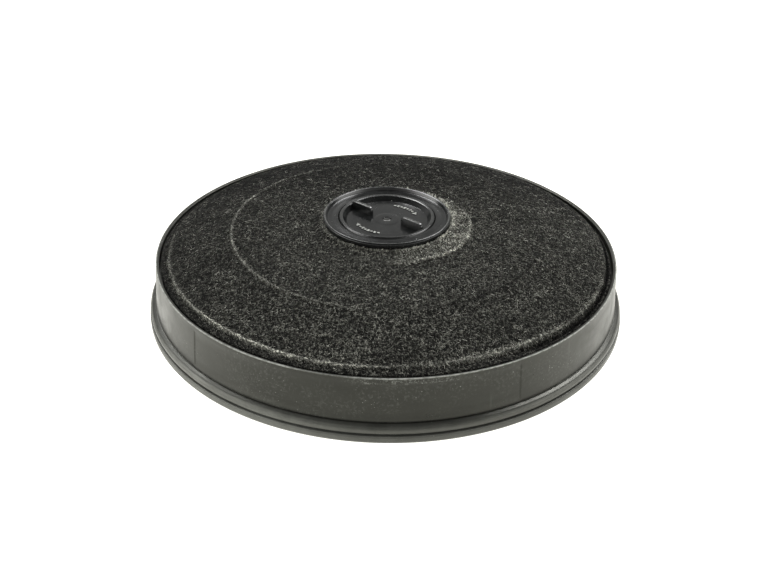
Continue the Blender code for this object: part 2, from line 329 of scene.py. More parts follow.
def plastic(name, color, light, rough=(0.30, 0.44), grain=0.00002, dust=0.5, lip=None,
            tint=(1.0, 1.0, 1.0), pale_marks=False, edges=(), foot=None):
    """Satin moulded black plastic: fine grain, faint flow marks, smudges and dust specks."""
    m = Mat(name)
    flow = m.noise(38.0, 3.0, 0.55, 0.8, m.mapped((1, 1, 2.2)))
    fine = m.noise(2600.0, 2.0, 0.6)
    smudge = m.ramp(m.noise(85.0, 4.0, 0.62, 0.4), 0.45, 0.72)
    col = m.mix(m.ramp(flow, 0.3, 0.7), color, light)
    # specks of dust, each in its own cell, only in some cells
    dust_wear_and_highlight = None
    for k, (scale, share, size) in enumerate(((430.0, 0.20, 0.13), (820.0, 0.17, 0.17))):
        v = m.mapped(move=(k * 0.31, k * 0.17, 0.0))
        pick = m.new("ShaderNodeSeparateColor")
        m.link(m.voronoi(scale, out="Color", vector=v), pick.inputs[0])
        dot = m.ramp(m.voronoi(scale, vector=v), size * 0.5, size, 1.0, 0.0)
        speck = m.math("MULTIPLY", dot, m.ramp(pick.outputs[0], 1.0 - share * dust, 1.0 - 0.7 * share * dust))
        speck = m.math("MULTIPLY", speck, m.ramp(pick.outputs[1], 0.0, 1.0, 0.25, 0.8))
        dust_wear_and_highlight = speck if dust_wear_and_highlight is None else m.math("MAXIMUM", dust_wear_and_highlight, speck)
    patch = m.ramp(m.noise(48.0, 2.0, 0.5, 0.0, m.mapped(move=(0.4, 0.1, 0.2))), 0.42, 0.62, 0.12, 1.0)
    dust_wear_and_highlight = m.math("MULTIPLY", dust_wear_and_highlight, patch)
    haze = m.math("MULTIPLY", m.ramp(m.noise(760.0, 3.0, 0.7), 0.46, 0.78), 0.11 * dust)
    dust_wear_and_highlight = m.math("MAXIMUM", dust_wear_and_highlight, m.math("MULTIPLY", haze, patch))
    if lip:
        # scuffs on the wall just under the rim, in front
        x, y, z = m.xyz()
        band = m.math("MULTIPLY", m.ramp(z, lip[0], lip[0] + 0.0006), m.ramp(z, lip[1], lip[1] + 0.0006, 1.0, 0.0))
        front = m.math("MULTIPLY", m.ramp(y, -0.108, -0.112), m.ramp(x, 0.045, 0.030))
        front = m.math("MULTIPLY", front, m.ramp(x, -0.020, -0.008))
        paleness = m.math("MULTIPLY", m.ramp(m.noise(900.0, 3.0, 0.75, 0.5), 0.50, 0.64), front)
        dust_wear_and_highlight = m.math("MAXIMUM", dust_wear_and_highlight, m.math("MULTIPLY", m.math("MULTIPLY", paleness, band), 0.34))
        # faint upright scratches and streaks down the wall
        streak = m.noise(240.0, 2.0, 0.6, 0.2, m.mapped((1.0, 1.0, 0.05)))
        streak = m.math("MULTIPLY", m.ramp(streak, 0.62, 0.74), m.ramp(m.noise(60.0, 1.0), 0.45, 0.60))
        dust_wear_and_highlight = m.math("MAXIMUM", dust_wear_and_highlight, m.math("MULTIPLY", streak, 0.05))
    if pale_marks:
        # the tops of the raised marks on the knob's floor are painted pale, a painted highlight
        x, y, z = m.xyz()
        radius = m.math("SQRT", m.math("ADD", m.math("MULTIPLY", x, x), m.math("MULTIPLY", y, y)))
        top = m.math("MULTIPLY", m.ramp(z, 0.04662, 0.04668), m.ramp(z, 0.04690, 0.04695, 1.0, 0.0))
        top = m.math("MULTIPLY", top, m.ramp(radius, 0.0182, 0.0180))
        aside = m.math("ADD", m.math("MULTIPLY", x, math.cos(math.radians(52.0))), m.math("MULTIPLY", y, math.sin(math.radians(52.0))))
        top = m.math("MULTIPLY", top, m.ramp(m.math("ABSOLUTE", aside), 0.0112, 0.0116))
        top = m.math("MULTIPLY", top, m.ramp(m.noise(900.0, 3.0, 0.7), 0.38, 0.56, 0.15, 1.0))
        dust_wear_and_highlight = m.math("MAXIMUM", dust_wear_and_highlight, m.math("MULTIPLY", top, 0.85))
    for low, high, r_in, r_out, amount, scale in edges:
        # painted highlights on edges: pale between two heights and two distances from the axis
        x, y, z = m.xyz()
        radius = m.math("SQRT", m.math("ADD", m.math("MULTIPLY", x, x), m.math("MULTIPLY", y, y)))
        at = m.math("MULTIPLY", m.ramp(z, low, high), m.ramp(radius, r_in - 0.0001, r_in))
        at = m.math("MULTIPLY", at, m.ramp(radius, r_out + 0.0001, r_out))
        at = m.math("MULTIPLY", at, m.ramp(m.noise(scale, 3.0, 0.7), 0.35, 0.60, 0.35, 1.0))
        if r_out > 0.1:
            # the casing lip's painted highlight is kept to the front and dimmed just left of the middle
            front_falloff = m.ramp(m.math("ABSOLUTE", m.math("ADD", x, 0.026)), 0.006, 0.020, 0.35, 1.0)
            at = m.math("MULTIPLY", m.math("MULTIPLY", at, front_falloff), m.ramp(y, 0.02, -0.03))
        dust_wear_and_highlight = m.math("MAXIMUM", dust_wear_and_highlight, m.math("MULTIPLY", at, amount))
    if foot:
        # painted highlights on the beads of the foot: paler in front, most of all at the left
        x, y, z = m.xyz()
        radius = m.math("SQRT", m.math("ADD", m.math("MULTIPLY", x, x), m.math("MULTIPLY", y, y)))
        at = m.math("MULTIPLY", m.ramp(z, foot[0], foot[0] - 0.0005), m.ramp(radius, foot[1], foot[1] + 0.0003))
        aside = m.math("ADD", m.math("MULTIPLY", x, -0.62), m.math("MULTIPLY", y, -0.78))
        at = m.math("MULTIPLY", at, m.ramp(aside, 0.095, 0.118, 0.75, 1.55))
        at = m.math("MULTIPLY", at, m.ramp(y, -0.02, -0.07))
        at = m.math("MULTIPLY", at, m.ramp(m.noise(160.0, 3.0, 0.6, 0.4), 0.3, 0.7, 0.7, 1.0))
        dust_wear_and_highlight = m.math("MAXIMUM", dust_wear_and_highlight, m.math("MULTIPLY", at, foot[2]))
    # dust, scuffs, streaks and the painted highlights all lighten toward the same pale grey
    col = m.mix(dust_wear_and_highlight, col, (0.40, 0.41, 0.38))
    r = m.math("ADD", m.ramp(flow, 0.3, 0.7, rough[0], rough[1]), m.math("MULTIPLY", smudge, 0.07))
    r = m.math("ADD", r, m.math("MULTIPLY", dust_wear_and_highlight, 0.4))
    b = m.bump(fine, grain, 0.7)
    b = m.bump(m.noise(140.0, 2.0), 0.00010, 0.35, b)
    if lip:
        b = m.bump(m.noise(46.0, 3.0, 0.6, 0.6), 0.0007, 0.30, b)
    m.p.inputs["Specular Tint"].default_value = (*tint, 1.0)
    return m.wire(Base_Color=col, Roughness=r, Normal=b)


# the edges, foot and raised-mark settings paint highlights: on the casing's lip and bead, the base's lip, the fins'
# tops, the collar's lip and the knob's rim
casing_mat = plastic("satin_black_plastic", (0.0085, 0.0088, 0.0072), (0.0145, 0.0150, 0.0125), rough=(0.27, 0.39),
                     lip=(0.0278, 0.0302), dust=1.0, tint=(1.0, 1.0, 0.90),
                     edges=((0.03055, 0.03072, 0.11440, 0.11540, 0.62, 420.0),), foot=(0.0094, 0.1168, 0.16))
base_mat = plastic("satin_black_plastic_base", (0.010, 0.0104, 0.009), (0.017, 0.0175, 0.0155), dust=0.8,
                   tint=(1.0, 1.0, 0.92), foot=(0.0050, 0.1176, 0.15))
hub_mat = plastic("smooth_black_plastic", (0.0045, 0.0049, 0.0050), (0.0065, 0.0070, 0.0070),
                  rough=(0.17, 0.25), grain=0.000012, dust=0.35, pale_marks=True,
                  edges=((0.05030, 0.05058, 0.0, 0.0230, 0.13, 900.0), (0.04935, 0.04958, 0.0300, 0.0325, 0.16, 700.0),
                         (0.04850, 0.04870, 0.0219, 0.0232, 0.05, 700.0)))


def felt(name, ground, strand, pale, lift=0.0003):
    """Needle-punched felt: dark hollows and grey tufts, with tangled paler strands drawn along
    the level lines of stretched noise."""
    m = Mat(name)
    total = None
    for k, (turn, sc, w) in enumerate(((0.3, 620, 0.036), (1.15, 780, 0.038), (1.9, 690, 0.038),
                                       (2.6, 900, 0.038), (0.75, 520, 0.030), (2.2, 580, 0.030))):
        v = m.mapped((1.0, 0.30, 0.6), (0, 0, turn), (k * 0.37, k * 0.61, k * 0.23))
        n = m.noise(sc, 1.0, 0.4, 0.9, v)
        line = m.ramp(m.math("ABSOLUTE", m.math("SUBTRACT", n, 0.5)), 0.0, w, 1.0, 0.0)
        keep = m.ramp(m.noise(330.0 + 50 * k, 1.0, 0.5, 0.0, m.mapped(move=(k, 2 * k, 0))), 0.50, 0.60)
        line = m.math("MULTIPLY", line, keep)
        total = line if total is None else m.math("MAXIMUM", total, line)
    coarse = m.noise(620.0, 1.0, 0.5, 0.4)
    fine = m.noise(1100.0, 1.0, 0.5, 0.2, m.mapped(move=(0.7, 0.2, 0.1)))
    tuft = m.math("MULTIPLY", m.ramp(coarse, 0.36, 0.62), m.ramp(fine, 0.42, 0.62))
    wide = m.noise(42.0, 3.0, 0.55)
    tuft = m.math("POWER", tuft, 1.4)
    col = m.mix(tuft, ground, strand)
    bright = m.math("MULTIPLY", total, m.ramp(m.noise(1000.0, 1.0, 0.5, 0.0, m.mapped(move=(0.2, 0.9, 0.4))), 0.46, 0.62, 0.03, 1.0))
    bright = m.math("MULTIPLY", bright, m.ramp(wide, 0.35, 0.65, 0.6, 1.0))
    col = m.mix(bright, col, pale)
    b = m.bump(m.math("ADD", m.math("MULTIPLY", total, 0.6), tuft), lift, 1.0)
    m.p.inputs["Sheen Weight"].default_value = 0.02
    m.p.inputs["Sheen Roughness"].default_value = 0.5
    m.p.inputs["Specular IOR Level"].default_value = 0.06
    return m, col, b


m, col, b = felt("black_needled_felt", (0.0011, 0.0011, 0.0009), (0.067, 0.067, 0.0575),
                 (0.26, 0.26, 0.225))
x, y, z = m.xyz()
# marks laid on the mesh: one is pale felt, partly worn and partly painted light on the slopes that face the lamps; the
# other is painted shade in creases, hollows and under edges
paleness = m.new("ShaderNodeAttribute", attribute_name="paleness").outputs["Fac"]
painted_shade = m.new("ShaderNodeAttribute", attribute_name="painted_shade").outputs["Fac"]
# painted light and shade: the felt is lighter in front, darker behind and on the left, lighter on the pale marks and
# darker in the painted shade
painted_light_gain = m.math("ADD", m.ramp(y, -0.03, -0.10, 0.92, 1.10), m.math("MULTIPLY", paleness, 0.9))
painted_light_gain = m.math("SUBTRACT", painted_light_gain, m.math("MULTIPLY", m.ramp(y, 0.005, 0.075), 0.66))
painted_light_gain = m.math("SUBTRACT", painted_light_gain, m.math("MULTIPLY", m.ramp(x, -0.03, -0.09), 0.27))
painted_light_gain = m.math("MULTIPLY", painted_light_gain, m.math("SUBTRACT", 1.0, painted_shade))
vm = m.new("ShaderNodeVectorMath", operation="SCALE")
m.link(col, vm.inputs[0])
m.link(painted_light_gain, vm.inputs["Scale"])
# the pale marks, partly wear and partly painted light, mix toward pale grey
pale_marks = m.math("MULTIPLY", paleness, m.ramp(m.noise(800.0, 2.0, 0.6), 0.40, 0.60, 0.20, 1.0))
col = m.mix(m.math("MULTIPLY", pale_marks, 0.95, clamp=True), vm.outputs[0], (0.30, 0.30, 0.265))
felt_mat = m.wire(Base_Color=col, Roughness=0.95, Normal=b)

m, col, b = felt("black_needled_felt_under", (0.0030, 0.0030, 0.0026), (0.070, 0.070, 0.062),
                 (0.20, 0.20, 0.18))
under_felt_mat = m.wire(Base_Color=col, Roughness=0.92, Normal=b)

m = Mat("felt_fibre")
tone = m.new("ShaderNodeAttribute", attribute_name="tone").outputs["Fac"]
along = m.ramp(m.noise(1100.0, 1.0), 0.40, 0.62, 0.30, 1.5)
shade = m.math("MULTIPLY", tone, along)
cc = m.new("ShaderNodeCombineColor")
m.link(shade, cc.inputs[0])
m.link(shade, cc.inputs[1])
m.link(m.math("MULTIPLY", shade, 0.88), cc.inputs[2])
m.p.inputs["Specular IOR Level"].default_value = 0.12
fibre_mat = m.wire(Base_Color=cc.outputs[0], Roughness=0.65)

m = Mat("carbon_granules")
cells = m.voronoi(620.0)
shade = m.new("ShaderNodeSeparateColor")
m.link(m.voronoi(620.0, out="Color"), shade.inputs[0])
granule_mat = m.wire(
    Base_Color=m.mix(m.ramp(cells, 0.1, 0.6), (0.022, 0.022, 0.023), (0.004, 0.004, 0.004)),
    Roughness=m.ramp(shade.outputs[0], 0.0, 1.0, 0.35, 0.75),
    Normal=m.bump(m.math("SUBTRACT", 1.0, cells), 0.0008, 1.0))

m = Mat("zinc_plated_steel")
turnmark = m.noise(900.0, 3.0, 0.6, 0.0, m.mapped((1, 1, 0.1)))
screw_mat = m.wire(Base_Color=m.mix(turnmark, (0.045, 0.045, 0.044), (0.12, 0.12, 0.115)), Metallic=1.0,
                   Roughness=m.ramp(turnmark, 0.3, 0.7, 0.36, 0.55),
                   Normal=m.bump(turnmark, 0.00001, 0.5))


def give(ob, mat, body, slot, *stands_for):
    ob.data.materials.clear()
    ob.data.materials.append(mat)
    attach(ob, body)
    if stands_for:
        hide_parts(*stands_for)
    return ob


# ------------------------------------------------------------------------------------
# the felt's shape, in mm: what lies on it and the mesh itself use the same function
# ------------------------------------------------------------------------------------
FELT_T = 2.4
EYE_R, EYE_Z = 29.0, 45.9
MID_R, MID_Z = 77.5, 41.5
RIDGE_R, RIDGE_Z = 108.7, 32.2
LEDGE_Z = 27.0
_n1, _n2, _n3, _n4 = (lattice_noise(s) for s in (11, 12, 13, 14))
_tab_r = np.arange(20.0, 116.0, 0.05)


def _smoothed(knots, sigma):
    v = np.interp(_tab_r, [k[0] for k in knots], [k[1] for k in knots])
    k = np.exp(-0.5 * (np.arange(-60, 61) * 0.05 / sigma) ** 2)
    return np.convolve(np.pad(v, 60, mode="edge"), k / k.sum(), mode="valid")


_dome = _smoothed([(20, 44.35), (44, 43.75), (62, 42.9), (75.6, 41.75), (MID_R, 41.62),
                   (79.2, 40.95), (93, 37.0), (104, 33.75), (107.6, 32.35)], 0.55)
_edge_near = _smoothed([(0, 0.0), (107.6, 0.0), (108.5, 0.10), (109.2, -0.75), (110.2, -1.25),
                       (111.4, -1.50), (112.3, -1.80), (115, -2.6)], 0.25)
_edge_deep = _smoothed([(0, 0.0), (107.9, 0.0), (108.7, 0.05), (109.4, -1.2), (110.0, -3.4), (111.1, -3.5),
                        (111.75, -2.35), (112.3, -3.2), (115, -3.6)], 0.20)
DEG = math.pi / 180.0


def around(az, knots):
    """A smooth periodic value from (azimuth in degrees, value) knots."""
    a = np.array([k[0] for k in knots], float)
    v = np.array([k[1] for k in knots], float)
    a = np.concatenate([a - 360, a, a + 360])
    v = np.concatenate([v, v, v])
    d = (np.degrees(az) + 180.0) % 360.0 - 180.0
    i = np.clip(np.searchsorted(a, d) - 1, 0, len(a) - 2)
    t = (d - a[i]) / (a[i + 1] - a[i])
    t = t * t * (3 - 2 * t)
    return v[i] * (1 - t) + v[i + 1] * t


def ridge_shift(az):
    """How far the felt's outer fold wanders from its circle."""
    return around(az, [(-165, 0.0), (-130, -0.5), (-102, 0.35), (-75, -0.7), (-57, -0.7), (-40, 0.65), (-11, 0.55),
                       (30, 0.5), (90, 0.1), (150, 0.1)]) + 0.10 * np.sin(9 * az)


def channel(az):
    """1 where the felt's border lies deep behind the lip, 0 where it is nearly level."""
    return around(az, [(-175, 0.25), (-150, 0.0), (-70, 0.0), (-48, 0.75), (-25, 1.0), (80, 1.0), (110, 0.6), (160, 0.45)])


def skirt_foot(az):
    return around(az, [(-150, 37.6), (-115, 40.4), (-77, 41.9), (-53, 42.0), (-30, 42.3), (0, 42.3), (22, 41.2),
                       (45, 39.0), (90, 36.4), (140, 34.6), (178, 35.2)]) + 0.3 * np.sin(7 * az) + 0.2 * np.sin(13 * az + 1)


def ring_crest(az):
    return around(az, [(-120, 0.75), (-95, 0.1), (0, 0.0), (80, 0.15), (125, 0.55), (180, 1.0)])


def ring_crease(az):
    return around(az, [(-120, 0.0), (-88, 0.5), (-60, 1.0), (-15, 0.8), (15, 0.2), (60, 0.0)])


def fold_line(az):
    return around(az, [(-170, 0.22), (-152, 0.40), (-138, 1.0), (-118, 0.95), (-105, 0.5), (-88, 0.1), (0, 0.0), (150, 0.1)])


def skirt_full(az):
    return around(az, [(-160, 0.15), (-100, 0.35), (-50, 0.75), (0, 1.0), (35, 0.7), (80, 0.3), (150, 0.1)])


def felt_z(x, y, lumps=1.0):
    r, az = np.hypot(x, y), np.arctan2(y, x)
    shift = ridge_shift(az)
    r2 = r - shift * smoothstep(84, 104, r) * (1 - smoothstep(109.4, 110.4, r))
    w = channel(az)
    z = (np.interp(r2, _tab_r, _dome) + (1 - w) * np.interp(r2, _tab_r, _edge_near)
         + w * np.interp(r2, _tab_r, _edge_deep))
    # the hub's skirt: bunched up and wider on the right and in front, with a puckered edge
    s = skirt_foot(az)
    t = np.clip((r - 31.0) / (s - 31.0), 0, 1)
    foot = np.interp(s, _tab_r, _dome)
    rise = EYE_Z + 0.25 - foot
    full = skirt_full(az)
    sk = foot + rise * ((1 - 0.30 * full) * (1 - t) + 0.30 * full * np.sqrt(np.clip(1 - t * t, 0, 1)))
    lip = 1.05 * full * (1 - smoothstep(s - 0.45, s + 0.2, r)) * smoothstep(s - 4.0, s - 0.8, r)
    z = np.where(r < s, np.maximum(z, sk), z) + lip
    z = z + (0.25 + 1.05 * full) * smoothstep(31.95, 33.0, r) * (1 - smoothstep(33.2, 37.5, r))
    if lumps:
        inside = smoothstep(31.5, 36, r) * (1 - smoothstep(106.5, 108.6, r - shift))
        z = z + lumps * inside * (0.30 * _n1(x / 17.0 + 3, y / 17.0 + 7) + 0.18 * _n2(x / 6.5, y / 6.5))
        fold = (1 - smoothstep(s - 1.0, s + 1.5, r)) * (0.25 + 0.75 * full) * smoothstep(31.2, 33.0, r)
        pucker = np.sin(az * 46 + 5 * _n1(x / 9.0, y / 9.0)) * 0.16
        z = z + lumps * fold * (0.40 * _n3(x / 2.4 + 9, y / 2.4) + 0.22 * _n4(x / 1.2, y / 1.2) + pucker)
        near = 1 - smoothstep(111.6, 112.3, r)
        z = z + lumps * near * (0.17 * _n3(x / 2.0, y / 2.0) + 0.16 * _n4(x / 1.1 + 5, y / 1.1))
        edge = np.exp(-((r - shift - 108.4) / 0.9) ** 2)
        z = z + lumps * edge * 0.24 * _n2(x / 3.1 + 20, y / 3.1)
    # the middle support ring: a low crest on the left, a faint crease on the right
    d = r - MID_R - 0.25 * np.sin(5 * az)
    z = z + 0.42 * ring_crest(az) * np.exp(-(d / 0.55) ** 2)
    z = z - 0.32 * ring_crease(az) * np.exp(-(d / 0.45) ** 2)
    # the outer fold stands up as a thin crest on the left and in front of it
    z = z + 0.30 * fold_line(az) * np.exp(-((r - shift - 108.5) / 0.45) ** 2)
    return z


def felt_marks(x, y):
    """How pale the felt is, partly worn and partly painted light on the skirt's lit flap, and how much painted shade it
    gets in creases, hollows, beside the lip and under the skirt's edge, both from 0 to 1.
    """
    r, az = np.hypot(x, y), np.arctan2(y, x)
    shift, w, s, full = ridge_shift(az), channel(az), skirt_foot(az), skirt_full(az)
    specks = np.clip(0.62 + 0.9 * _n3(x / 1.7 + 30, y / 1.7), 0, 1)
    d = r - MID_R - 0.25 * np.sin(5 * az)
    ring = 0.48 * ring_crest(az) * np.exp(-(d / 0.62) ** 2)
    f = r - shift - 108.5
    fold = fold_line(az) * 1.0 * np.exp(-(f / 0.60) ** 2)
    front = around(az, [(-110, 0.15), (-86, 0.10), (-70, 0.38), (-56, 0.42), (-38, 0.12), (-12, 0.08), (15, 0.0), (180, 0.0), (-140, 0.1)])
    fold = np.maximum(fold, front * np.exp(-((f + 0.5) / 1.0) ** 2))
    foot = 0.95 * np.clip(full * 1.25 - 0.15, 0, 1) * np.exp(-((r - s + 0.35) / 0.55) ** 2)
    # the skirt's flap is painted light: pale on the right, where its slope faces the right softbox
    flap = 0.42 * np.clip(full * 1.2 - 0.15, 0, 1) * (1 - smoothstep(s - 0.8, s, r)) * np.clip(0.55 + 0.9 * _n3(x / 1.3, y / 1.3 + 50), 0.1, 1)
    collar = (0.35 + 0.35 * full) * (1 - smoothstep(32.0, 33.8, r))
    paleness = np.clip(np.maximum.reduce([ring, fold, foot, flap, collar]) * (0.35 + 0.65 * specks), 0, 1)
    # painted shade: in the mid ring's crease, in the channel behind the lip, along the border at the front and left, in
    # dark spots near the front border, under the skirt's edge and next to the lip
    crease = 0.90 * ring_crease(az) * np.exp(-(d / 0.60) ** 2)
    trench = w * smoothstep(109.2, 109.75, r2 := r - 0.45 * shift) * (1 - smoothstep(111.1, 111.5, r2))
    left = (1 - w) * 0.35 * smoothstep(110.3, 111.4, r)
    dark_spots = 0.55 * (1 - w) * front * np.exp(-((r - 110.4) / 0.9) ** 2) * np.clip(0.4 + 1.6 * _n2(x / 2.2, y / 2.2 + 8), 0, 1)
    under = 0.45 * (1 - full) * np.exp(-((r - s - 0.2) / 1.6) ** 2) + 0.62 * full * np.exp(-((r - s - 0.75) / 0.55) ** 2)
    rim = 0.90 * smoothstep(112.25, 112.6, r)
    painted_shade = np.clip(np.maximum.reduce([crease, 0.95 * trench, left, dark_spots, under, rim]), 0, 0.97)
    return paleness, painted_shade


def felt_sheet():
    steps = 448
    fine = np.concatenate([[EYE_R, 30.2], np.arange(31.2, 46.0, 0.50), np.arange(46.0, 75.5, 0.80),
                           np.arange(75.5, 79.5, 0.32), np.arange(79.5, 106.5, 0.80), np.arange(106.5, 111.4, 0.28),
                           [111.8, 112.3, 112.65]])
    az = np.arange(steps) * 2 * math.pi / steps
    rr, aa = np.meshgrid(fine, az, indexing="ij")
    # every second ring is turned by half a step, so that the grid doesn't show
    aa = aa + (np.arange(len(fine)) % 2)[:, None] * math.pi / steps
    x, y = rr * np.cos(aa), rr * np.sin(aa)
    z = felt_z(x, y)
    z[0] = EYE_Z - 0.5
    z[1] = np.minimum(z[1], EYE_Z - 0.05)
    z[-1] = z[-1] - 0.45
    top = np.stack([x, y, z], -1)
    low_r = np.array([112.65, 110.9, 109.6, 108.2, 104, 93, MID_R, 60, 44, 38, 33.6, 31, EYE_R])
    rr, aa = np.meshgrid(low_r, az, indexing="ij")
    x, y = rr * np.cos(aa), rr * np.sin(aa)
    z = np.minimum(felt_z(x, y, 0.0), np.interp(rr, _tab_r, _dome + _edge_near) + 2.6) - FELT_T
    z = np.where(rr > 109.4, LEDGE_Z + 0.3, z)
    z[0] = z[0] + 0.3
    z[-1] = EYE_Z - FELT_T + 0.2
    low = np.stack([x, y, z], -1)
    rows = np.concatenate([top, low])
    n = len(rows)
    verts = rows.reshape(-1, 3) * MM
    i, j = np.meshgrid(np.arange(n), np.arange(steps), indexing="ij")
    i2, j2 = (i + 1) % n, (j + 1) % steps
    f = np.stack([i * steps + j, i * steps + j2, i2 * steps + j2, i2 * steps + j], -1).reshape(-1, 4)
    f = f[:, ::-1]
    ob = finish_mesh("felt_cover", verts, f, 60)
    paleness, painted_shade = felt_marks(rows[..., 0], rows[..., 1])
    for key, value in (("paleness", paleness), ("painted_shade", painted_shade)):
        at = ob.data.attributes.new(key, "FLOAT", "POINT")
        at.data.foreach_set("value", value.reshape(-1).astype(np.float32))
    return ob


cover = give(felt_sheet(), felt_mat, "housing", "felt", "top_felt")


def strands(name, start, direction, length, width, lift, tone, bend, seed, parts=2):
    """Thin three-sided fibres of one or two straight parts: one mesh, each fibre closed, in mm."""
    g = np.random.default_rng(seed)
    n = len(start)
    side = np.cross(direction, [0, 0, 1.0])
    side /= np.linalg.norm(side, axis=1)[:, None] + 1e-9
    kink = side * (bend * length)[:, None]
    p0 = start
    p1 = p0 + direction * (length / 2)[:, None] + kink
    p2 = p0 + direction * length[:, None] + kink * g.uniform(-0.6, 1.2, n)[:, None]
    m = parts + 1
    pts = np.stack([p0, p1, p2] if parts == 2 else [p0, p2], 1)
    if parts == 1:
        lift = lift[:, [1, 2]]
    pts[..., 2] = felt_z(pts[..., 0], pts[..., 1]) + lift
    d = np.empty_like(pts)
    d[:, 0], d[:, -1] = pts[:, 1] - pts[:, 0], pts[:, -1] - pts[:, -2]
    if parts == 2:
        d[:, 1] = pts[:, 2] - pts[:, 0]
    d /= np.linalg.norm(d, axis=2)[..., None] + 1e-9
    s = np.cross(d, [0, 0, 1.0])
    s /= np.linalg.norm(s, axis=2)[..., None] + 1e-9
    u = np.cross(s, d)
    thin = np.array([0.55, 1.0, 0.45] if parts == 2 else [1.0, 0.6])[None, :, None]
    ring = []
    for a in (90, 210, 330):
        c, q = math.cos(math.radians(a)), math.sin(math.radians(a))
        ring.append(pts + (s * c + u * q) * width[:, None, None] * thin)
    v = np.stack(ring, 2).reshape(-1, 3) * MM          # n, m points, 3 corners
    base = (np.arange(n) * 3 * m)[:, None]
    quads = []
    for k in range(parts):
        for c in range(3):
            c2 = (c + 1) % 3
            quads.append(np.concatenate([base + 3 * k + c, base + 3 * k + c2,
                                         base + 3 * k + 3 + c2, base + 3 * k + 3 + c], 1))
    e = 3 * parts
    tris = [np.concatenate([base + 2, base + 1, base], 1),
            np.concatenate([base + e, base + e + 1, base + e + 2], 1)]
    me = bpy.data.meshes.new(name)
    q = np.stack(quads, 1).reshape(-1, 4)
    t = np.stack(tris, 1).reshape(-1, 3)
    me.vertices.add(len(v))
    me.vertices.foreach_set("co", v.astype(np.float32).ravel())
    me.loops.add(len(q) * 4 + len(t) * 3)
    me.loops.foreach_set("vertex_index", np.concatenate([q.ravel(), t.ravel()]).astype(np.int32))
    me.polygons.add(len(q) + len(t))
    starts = np.concatenate([np.arange(len(q)) * 4, len(q) * 4 + np.arange(len(t)) * 3])
    me.polygons.foreach_set("loop_start", starts.astype(np.int32))
    me.update(calc_edges=True)
    me.validate()
    at = me.attributes.new("tone", "FLOAT", "POINT")
    at.data.foreach_set("value", np.repeat(tone, 3 * m).astype(np.float32))
    me.shade_smooth()
    ob = bpy.data.objects.new(name, me)
    scene.collection.objects.link(ob)
    return ob


def scattered(name, n, seed, r0, r1, az0=0.0, az1=360.0, size=(1.4, 4.2), width=(0.045, 0.095),
              pale=0.62, tangle=None, parts=2, skew=5.0, shifted=False):
    """Fibres lying on the felt at random between two radii and azimuths."""
    g = np.random.default_rng(seed)
    r = np.sqrt(g.uniform(r0 ** 2, r1 ** 2, n))
    az = np.radians(g.uniform(az0, az1, n))
    if shifted:
        r = r + ridge_shift(az)
    a = g.uniform(0, 2 * math.pi, n)
    if tangle is not None:                              # mostly along the ring
        a = az + math.pi / 2 + g.normal(0, tangle, n) + math.pi * g.integers(0, 2, n)
    d = np.stack([np.cos(a), np.sin(a), np.zeros(n)], 1)
    start = np.stack([r * np.cos(az), r * np.sin(az), np.zeros(n)], 1)
    length = g.uniform(*size, n)
    w = g.uniform(*width, n)
    lift = g.uniform(0.0, 1.0, (n, 3)) ** 2 * 0.35 - 0.05
    lift[:, [0, 2]] -= 0.08
    # patches where the fibres stand out more, as the felt is uneven
    patch = 0.5 + 0.5 * np.clip(_n2(start[:, 0] / 9.0 + 40, start[:, 1] / 9.0) * 1.6, -1, 1)
    t = g.uniform(0, 1, n) ** skew
    mid = start + d * (length / 2)[:, None]
    paleness, painted_shade = felt_marks(mid[:, 0], mid[:, 1])
    # painted shade: fibres darker behind and on the left, and darker still in the felt's painted shade
    back_left_shade = 1.0 - 0.45 * smoothstep(12.0, 80.0, mid[:, 1]) - 0.16 * smoothstep(30.0, 90.0, -mid[:, 0])
    tone = (0.004 + pale * t * (0.35 + 0.85 * patch) + 0.30 * paleness * g.uniform(0, 1, n) ** 1.5) * (1.0 - 0.92 * painted_shade) * back_left_shade
    return strands(name, start, d, length, w, lift, tone, g.normal(0, 0.16, n), seed + 500, parts)


bounds_r = (32.0, 110.2)
for k in range(4):
    q = (90.0 * k, 90.0 * k + 90.0)
    give(scattered("felt_fibres_%d" % k, 7200, 100 + k, *bounds_r, *q, size=(0.9, 2.6), parts=1),
         fibre_mat, "housing", "felt")
    give(scattered("felt_long_fibres_%d" % k, 2200, 140 + k, *bounds_r, *q, size=(2.2, 5.0), width=(0.035, 0.070)),
         fibre_mat, "housing", "felt")
fray = [
    scattered("frayed_fold_left", 1900, 201, 108.1, 108.9, 186, 268, (1.2, 3.6), (0.040, 0.085), 0.78, 0.22, skew=2.2, shifted=True),
    scattered("frayed_fold_right", 2600, 202, 107.4, 109.2, 270, 345, (0.8, 2.4), (0.04, 0.08), 0.68, 0.9, 1, 2.6, shifted=True),
    scattered("ring_strands", 1300, 203, 77.1, 77.9, 128, 262, (1.2, 3.6), (0.04, 0.080), 0.62, 0.25, skew=2.6),
    scattered("skirt_strands", 2900, 204, 32.0, 43.2, 276, 404, (0.8, 2.4), (0.04, 0.08), 0.95, 1.0, 1, 3.0),
    scattered("border_strands", 2300, 205, 109.6, 112.0, 0, 360, (0.8, 2.4), (0.04, 0.075), 0.40, 0.7, 1, 4.0),
]
for ob in fray:
    give(ob, fibre_mat, "housing", "felt")


